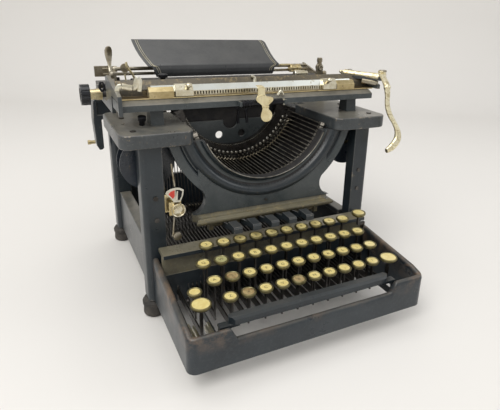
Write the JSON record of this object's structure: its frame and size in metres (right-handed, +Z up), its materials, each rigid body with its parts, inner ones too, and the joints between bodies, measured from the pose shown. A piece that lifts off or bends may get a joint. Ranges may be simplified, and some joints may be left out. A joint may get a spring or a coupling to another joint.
{
  "type": "typewriter",
  "caption": "Upright front-strike typewriter with round keys, open corner-post frame, arched type basket and a sliding carriage with rubber platen and return lever.",
  "frame": {"origin": "centre of the overall bounding box's base, on the desk", "axes": "+Z up, +Y away from the typist, +X to the typist's right"},
  "size_m": [0.3561, 0.3561, 0.292],
  "materials": {
    "black_enamel": "satin",
    "worn_enamel": "satin",
    "gold_enamel": "satin",
    "rubber": "matte",
    "black_knob": "gloss",
    "dark_steel": "satin",
    "keys": "satin",
    "nickel": "worn",
    "brass": "worn"
  },
  "bodies": {
    "frame": {"keyboard_surround": "black_enamel", "side_rails": "worn_enamel", "corner_posts": "black_enamel", "rubber_feet": "rubber", "rear_frame": "black_enamel", "top_plates": "worn_enamel", "front_arch": "black_enamel", "arch_base_moulding": "gold_enamel", "type_segment": "dark_steel", "typebars_resting": "dark_steel", "basket_back_plate": "black_enamel", "connecting_wires": "dark_steel", "lever_guides": "black_enamel", "lever_fulcrum": "nickel", "carriage_rails": "black_enamel", "ribbon_brackets": "brass", "bell": "brass", "escapement_bracket": "dark_steel", "frame_screws": "nickel"},
    "carriage": {"carriage_front_bar": "worn_enamel", "carriage_rear_bar": "worn_enamel", "carriage_end_plates": "worn_enamel", "margin_scale": "nickel"},
    "platen_frame": {"platen_frame": "dark_steel", "paper_table": "worn_enamel"},
    "platen": {"platen": "rubber", "platen_knob": "black_knob", "line_ratchet": "nickel"},
    "space_bar": {"space_bar": "dark_steel"},
    "home_key_1": {"home_key_1": "keys"},
    "home_key_2": {"home_key_2": "keys"},
    "home_key_3": {"home_key_3": "keys"},
    "home_key_4": {"home_key_4": "keys"},
    "home_key_5": {"home_key_5": "keys"},
    "home_key_6": {"home_key_6": "keys"},
    "home_key_7": {"home_key_7": "keys"},
    "home_key_8": {"home_key_8": "keys"},
    "home_key_9": {"home_key_9": "keys"},
    "home_key_10": {"home_key_10": "keys"},
    "home_key_11": {"home_key_11": "keys"},
    "bottom_row_keys": {"bottom_row_keys": "keys"},
    "upper_row_keys": {"upper_row_keys": "keys"},
    "number_row_keys": {"number_row_keys": "keys"},
    "shift_key_left": {"shift_key_left": "keys"},
    "shift_lock": {"shift_lock": "keys"},
    "shift_key_right": {"shift_key_right": "keys"},
    "back_space_key": {"back_space_key": "keys"},
    "column_keys": {"column_keys": "dark_steel"},
    "typebar_left": {"typebar_left": "nickel"},
    "typebar_right": {"typebar_right": "nickel"},
    "margin_release_lever": {"margin_release_lever": "brass"},
    "margin_stop_left": {"margin_stop_left": "nickel"},
    "margin_stop_right": {"margin_stop_right": "nickel"},
    "paper_release_lever": {"paper_release_lever": "nickel"},
    "return_lever": {"return_lever": "brass"},
    "ribbon_spool_left": {"ribbon_spool_left": "dark_steel"},
    "ribbon_spool_right": {"ribbon_spool_right": "dark_steel"},
    "ribbon_selector": {"ribbon_selector": "nickel"},
    "mainspring_drum": {"mainspring_drum": "brass"},
    "escape_wheel": {"escape_wheel": "brass"}
  },
  "joints": [
    {"name": "home_key_1_press", "type": "hinge", "parent": "frame", "child": "home_key_1", "pos_m": [0, 0.159, 0.038], "axis": [1, 0, 0], "range_deg": [0, 2.8], "stiffness_Nm_per_rad": 0.4, "springref_deg": -20.05},
    {"name": "home_key_2_press", "type": "hinge", "parent": "frame", "child": "home_key_2", "pos_m": [0, 0.159, 0.038], "axis": [1, 0, 0], "range_deg": [0, 2.8], "stiffness_Nm_per_rad": 0.4, "springref_deg": -20.05},
    {"name": "home_key_3_press", "type": "hinge", "parent": "frame", "child": "home_key_3", "pos_m": [0, 0.159, 0.038], "axis": [1, 0, 0], "range_deg": [0, 2.8], "stiffness_Nm_per_rad": 0.4, "springref_deg": -20.05},
    {"name": "home_key_4_press", "type": "hinge", "parent": "frame", "child": "home_key_4", "pos_m": [0, 0.159, 0.038], "axis": [1, 0, 0], "range_deg": [0, 2.8], "stiffness_Nm_per_rad": 0.4, "springref_deg": -20.05},
    {"name": "home_key_5_press", "type": "hinge", "parent": "frame", "child": "home_key_5", "pos_m": [0, 0.159, 0.038], "axis": [1, 0, 0], "range_deg": [0, 2.8], "stiffness_Nm_per_rad": 0.4, "springref_deg": -20.05},
    {"name": "home_key_6_press", "type": "hinge", "parent": "frame", "child": "home_key_6", "pos_m": [0, 0.159, 0.038], "axis": [1, 0, 0], "range_deg": [0, 2.8], "stiffness_Nm_per_rad": 0.4, "springref_deg": -20.05},
    {"name": "home_key_7_press", "type": "hinge", "parent": "frame", "child": "home_key_7", "pos_m": [0, 0.159, 0.038], "axis": [1, 0, 0], "range_deg": [0, 2.8], "stiffness_Nm_per_rad": 0.4, "springref_deg": -20.05},
    {"name": "home_key_8_press", "type": "hinge", "parent": "frame", "child": "home_key_8", "pos_m": [0, 0.159, 0.038], "axis": [1, 0, 0], "range_deg": [0, 2.8], "stiffness_Nm_per_rad": 0.4, "springref_deg": -20.05},
    {"name": "home_key_9_press", "type": "hinge", "parent": "frame", "child": "home_key_9", "pos_m": [0, 0.159, 0.038], "axis": [1, 0, 0], "range_deg": [0, 2.8], "stiffness_Nm_per_rad": 0.4, "springref_deg": -20.05},
    {"name": "home_key_10_press", "type": "hinge", "parent": "frame", "child": "home_key_10", "pos_m": [0, 0.159, 0.038], "axis": [1, 0, 0], "range_deg": [0, 2.8], "stiffness_Nm_per_rad": 0.4, "springref_deg": -20.05},
    {"name": "home_key_11_press", "type": "hinge", "parent": "frame", "child": "home_key_11", "pos_m": [0, 0.159, 0.038], "axis": [1, 0, 0], "range_deg": [0, 2.8], "stiffness_Nm_per_rad": 0.4, "springref_deg": -20.05},
    {"name": "bottom_row_press", "type": "hinge", "parent": "frame", "child": "bottom_row_keys", "pos_m": [0, 0.159, 0.038], "axis": [1, 0, 0], "range_deg": [0, 2.8], "stiffness_Nm_per_rad": 4.5, "springref_deg": -20.05},
    {"name": "upper_row_press", "type": "hinge", "parent": "frame", "child": "upper_row_keys", "pos_m": [0, 0.159, 0.038], "axis": [1, 0, 0], "range_deg": [0, 2.8], "stiffness_Nm_per_rad": 4.5, "springref_deg": -20.05},
    {"name": "number_row_press", "type": "hinge", "parent": "frame", "child": "number_row_keys", "pos_m": [0, 0.159, 0.038], "axis": [1, 0, 0], "range_deg": [0, 2.8], "stiffness_Nm_per_rad": 4.5, "springref_deg": -20.05},
    {"name": "space_bar_press", "type": "hinge", "parent": "frame", "child": "space_bar", "pos_m": [0, 0.159, 0.038], "axis": [1, 0, 0], "range_deg": [0, 1.5], "stiffness_Nm_per_rad": 2.2, "springref_deg": -20.05},
    {"name": "back_space_press", "type": "hinge", "parent": "frame", "child": "back_space_key", "pos_m": [0, 0.159, 0.038], "axis": [1, 0, 0], "range_deg": [0, 2.5], "stiffness_Nm_per_rad": 0.6, "springref_deg": -20.05},
    {"name": "shift_left_press", "type": "hinge", "parent": "frame", "child": "shift_key_left", "pos_m": [0, 0.159, 0.038], "axis": [1, 0, 0], "range_deg": [0, 2.6]},
    {"name": "shift_right_press", "type": "hinge", "parent": "frame", "child": "shift_key_right", "pos_m": [0, 0.159, 0.038], "axis": [1, 0, 0], "range_deg": [0, 2.6]},
    {"name": "shift_lock_press", "type": "hinge", "parent": "shift_key_left", "child": "shift_lock", "pos_m": [-0.1135, -0.102, 0.0465], "axis": [1, 0, 0], "range_deg": [0, 2.5], "stiffness_Nm_per_rad": 0.03, "springref_deg": -22.92},
    {"name": "column_keys_press", "type": "hinge", "parent": "frame", "child": "column_keys", "pos_m": [0, -0.047, 0.101], "axis": [1, 0, 0], "range_deg": [0, 8], "stiffness_Nm_per_rad": 0.25, "springref_deg": -20.05},
    {"name": "typebar_left_swing", "type": "hinge", "parent": "frame", "child": "typebar_left", "pos_m": [-0.02878, 0.052, 0.1487], "axis": [0.9437, 0, -0.3308], "range_deg": [-90, 0]},
    {"name": "typebar_right_swing", "type": "hinge", "parent": "frame", "child": "typebar_right", "pos_m": [0.02878, 0.052, 0.1487], "axis": [-0.9437, 0, -0.3308], "range_deg": [0, 90]},
    {"name": "margin_release_tilt", "type": "hinge", "parent": "frame", "child": "margin_release_lever", "pos_m": [-0.001, -0.0364, 0.235], "axis": [1, 0, 0], "range_deg": [-8, 8], "stiffness_Nm_per_rad": 0.05},
    {"name": "carriage_travel", "type": "slide", "parent": "frame", "child": "carriage", "axis": [1, 0, 0], "range_m": [-0.11, 0.09]},
    {"name": "platen_shift", "type": "slide", "parent": "carriage", "child": "platen_frame", "axis": [0, 0, 1], "range_m": [0, 0.0065]},
    {"name": "platen_turn", "type": "hinge", "parent": "platen_frame", "child": "platen", "pos_m": [0, 0.075, 0.234], "axis": [1, 0, 0], "continuous": true},
    {"name": "margin_stop_left_slide", "type": "slide", "parent": "carriage", "child": "margin_stop_left", "axis": [1, 0, 0], "range_m": [0, 0.078]},
    {"name": "margin_stop_right_slide", "type": "slide", "parent": "carriage", "child": "margin_stop_right", "axis": [1, 0, 0], "range_m": [-0.078, 0]},
    {"name": "paper_release_pull", "type": "hinge", "parent": "platen_frame", "child": "paper_release_lever", "pos_m": [-0.1432, 0.085, 0.2543], "axis": [1, 0, 0], "range_deg": [0, 25]},
    {"name": "return_lever_pull", "type": "hinge", "parent": "carriage", "child": "return_lever", "pos_m": [0.169, -0.03, 0.258], "axis": [0, 0, 1], "range_deg": [0, 25]},
    {"name": "ribbon_spool_left_turn", "type": "hinge", "parent": "frame", "child": "ribbon_spool_left", "pos_m": [-0.1285, -0.012, 0.1745], "axis": [0, 1, 0], "continuous": true},
    {"name": "ribbon_spool_right_turn", "type": "hinge", "parent": "frame", "child": "ribbon_spool_right", "pos_m": [0.1285, -0.012, 0.1745], "axis": [0, 1, 0], "continuous": true},
    {"name": "ribbon_selector_turn", "type": "hinge", "parent": "frame", "child": "ribbon_selector", "pos_m": [-0.1085, -0.053, 0.133], "axis": [0, 1, 0], "range_deg": [-20, 20]},
    {"name": "drum_turn", "type": "hinge", "parent": "frame", "child": "mainspring_drum", "pos_m": [-0.085, 0.172, 0.18], "axis": [0, 1, 0], "range_deg": [-240, 200]},
    {"name": "escape_wheel_turn", "type": "hinge", "parent": "frame", "child": "escape_wheel", "pos_m": [0, 0.172, 0.207], "axis": [0, 1, 0], "range_deg": [-860, 710]}
  ],
  "couplings": [
    {"joint": "typebar_left_swing", "follows": "home_key_5_press", "ratio": -32.143},
    {"joint": "typebar_right_swing", "follows": "home_key_8_press", "ratio": 32.143},
    {"joint": "shift_left_press", "follows": "platen_shift", "rad_per_m": 6.9813},
    {"joint": "shift_right_press", "follows": "platen_shift", "rad_per_m": 6.9813},
    {"joint": "drum_turn", "follows": "carriage_travel", "rad_per_m": 35.714},
    {"joint": "escape_wheel_turn", "follows": "carriage_travel", "rad_per_m": 133.33}
  ]
}
